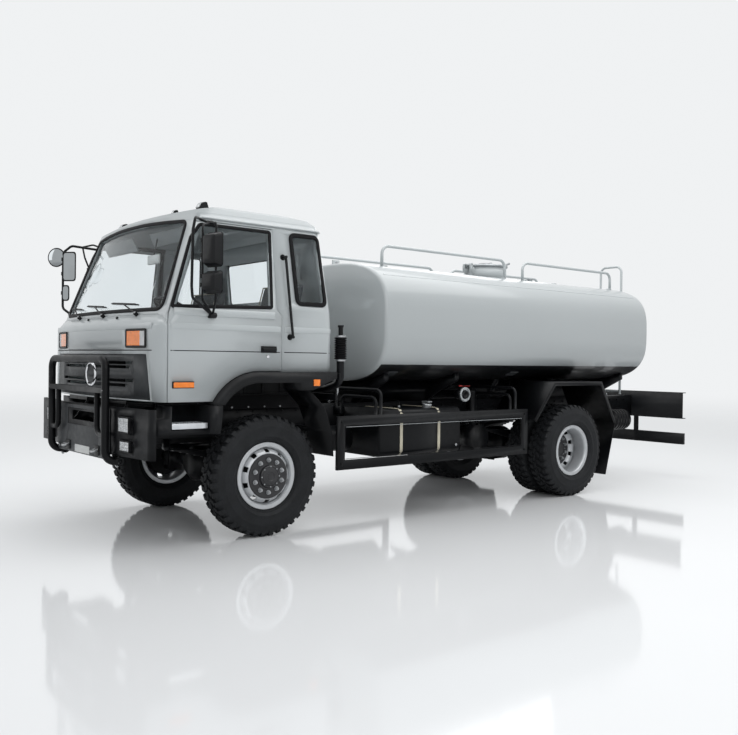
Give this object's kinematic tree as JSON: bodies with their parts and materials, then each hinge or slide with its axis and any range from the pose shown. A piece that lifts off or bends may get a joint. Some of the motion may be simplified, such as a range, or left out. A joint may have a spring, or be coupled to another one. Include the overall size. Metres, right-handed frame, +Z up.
{
  "type": "water tanker truck",
  "caption": "Forward-control four-wheel-drive tanker truck with a tilting cab, steered front wheels, twin rear wheels, an oval tank with a hinged manhole lid and a folding brush guard.",
  "frame": {"origin": "middle of the truck's footprint on the ground: half way along and across its box, at the tyres' contact level", "axes": "+Z up, the truck faces -Y, and its left side is +X"},
  "size_m": [3.07, 7.975, 2.98],
  "materials": {
    "body_paint": "gloss",
    "tank_paint": "gloss",
    "black_paint": "satin",
    "grille_black": "satin",
    "black_plastic": "matte",
    "tyre_rubber": "matte",
    "wheel_paint": "satin",
    "window_glass": "clear",
    "lamp_glass": "clear",
    "amber_lens": "gloss",
    "valve_red": "gloss",
    "seal_rubber": "matte",
    "cloth": "woven",
    "steel": "bare",
    "galvanised": "satin",
    "dark_cast": "cast"
  },
  "bodies": {
    "chassis": {"chassis_frame": "black_paint", "front_bumper": "black_paint", "road_lamps": "lamp_glass", "front_axle": "dark_cast", "rear_axle": "dark_cast", "leaf_springs": "black_paint", "engine": "dark_cast", "driveline": "dark_cast", "fuel_tank": "black_paint", "air_tanks": "black_paint", "battery_box": "black_paint", "muffler": "black_paint", "cab_steps": "black_plastic", "water_tank": "tank_paint", "manhole_neck": "tank_paint", "tank_cradle": "black_paint", "top_rails": "tank_paint", "rear_ladder": "tank_paint", "water_pipes": "steel", "valve_lever": "valve_red", "side_guards": "black_paint", "rear_mudguards": "black_paint", "tail_beam": "black_paint"},
    "cab": {"cab_subframe": "black_paint", "door_seals": "seal_rubber", "cab_shell": "body_paint", "cab_front_panel": "body_paint", "cab_roof": "body_paint", "cab_grille": "grille_black", "cab_glass": "window_glass", "cab_fenders": "black_plastic", "cab_lamps": "amber_lens", "dashboard": "black_plastic", "seats": "cloth"},
    "steering_wheel": {"steering_wheel": "black_plastic"},
    "left_door": {"door_left": "body_paint", "door_glass_left": "window_glass", "mirrors_left": "black_plastic"},
    "right_door": {"door_right": "body_paint", "door_glass_right": "window_glass", "mirrors_right": "black_plastic"},
    "brush_guard": {"brush_guard": "black_paint"},
    "manhole_lid": {"manhole_lid": "galvanised"},
    "left_knuckle": {"knuckle_left": "dark_cast"},
    "right_knuckle": {"knuckle_right": "dark_cast"},
    "tie_rod": {"tie_rod": "steel"},
    "front_left_wheel": {"tyre_front_left": "tyre_rubber", "wheel_front_left": "wheel_paint"},
    "front_right_wheel": {"tyre_front_right": "tyre_rubber", "wheel_front_right": "wheel_paint"},
    "rear_left_wheels": {"tyres_rear_left": "tyre_rubber", "wheels_rear_left": "wheel_paint"},
    "rear_right_wheels": {"tyres_rear_right": "tyre_rubber", "wheels_rear_right": "wheel_paint"}
  },
  "joints": [
    {"name": "cab_tilt", "type": "hinge", "parent": "chassis", "child": "cab", "pos_m": [0, -3.7925, 0.95], "axis": [1, 0, 0], "range_deg": [0, 45]},
    {"name": "guard_fold", "type": "hinge", "parent": "chassis", "child": "brush_guard", "pos_m": [0, -3.8325, 0.706], "axis": [1, 0, 0], "range_deg": [0, 90]},
    {"name": "left_door_swing", "type": "hinge", "parent": "cab", "child": "left_door", "pos_m": [1.194, -3.6685, 1.6], "axis": [0, 0, -1], "range_deg": [0, 70]},
    {"name": "right_door_swing", "type": "hinge", "parent": "cab", "child": "right_door", "pos_m": [-1.194, -3.6685, 1.6], "axis": [0, 0, 1], "range_deg": [0, 70]},
    {"name": "lid_swing", "type": "hinge", "parent": "chassis", "child": "manhole_lid", "pos_m": [0, 0.98019, 2.79], "axis": [1, 0, 0], "range_deg": [0, 110]},
    {"name": "steer_left", "type": "hinge", "parent": "chassis", "child": "left_knuckle", "pos_m": [0.82, -2.6425, 0.54], "axis": [0, 0, 1], "range_deg": [-33, 33]},
    {"name": "steer_right", "type": "hinge", "parent": "chassis", "child": "right_knuckle", "pos_m": [-0.82, -2.6425, 0.54], "axis": [0, 0, 1], "range_deg": [-33, 33]},
    {"name": "tie_rod_swing", "type": "hinge", "parent": "left_knuckle", "child": "tie_rod", "pos_m": [0.82, -2.3825, 0.47], "axis": [0, 0, 1], "range_deg": [-33, 33]},
    {"name": "steering_wheel_turn", "type": "hinge", "parent": "cab", "child": "steering_wheel", "pos_m": [0.56, -3.2825, 1.95], "axis": [0, 0.5, 0.866], "range_deg": [-528, 528]},
    {"name": "front_left_spin", "type": "hinge", "parent": "left_knuckle", "child": "front_left_wheel", "pos_m": [0.965, -2.6425, 0.54], "axis": [1, 0, 0], "continuous": true},
    {"name": "front_right_spin", "type": "hinge", "parent": "right_knuckle", "child": "front_right_wheel", "pos_m": [-0.965, -2.6425, 0.54], "axis": [1, 0, 0], "continuous": true},
    {"name": "rear_left_spin", "type": "hinge", "parent": "chassis", "child": "rear_left_wheels", "pos_m": [0.925, 1.5575, 0.54], "axis": [1, 0, 0], "continuous": true},
    {"name": "rear_right_spin", "type": "hinge", "parent": "chassis", "child": "rear_right_wheels", "pos_m": [-0.925, 1.5575, 0.54], "axis": [1, 0, 0], "continuous": true}
  ],
  "couplings": [
    {"joint": "guard_fold", "follows": "cab_tilt", "ratio": 2},
    {"joint": "steer_right", "follows": "steer_left", "ratio": 1},
    {"joint": "tie_rod_swing", "follows": "steer_left", "ratio": -1},
    {"joint": "steering_wheel_turn", "follows": "steer_left", "ratio": 16}
  ]
}
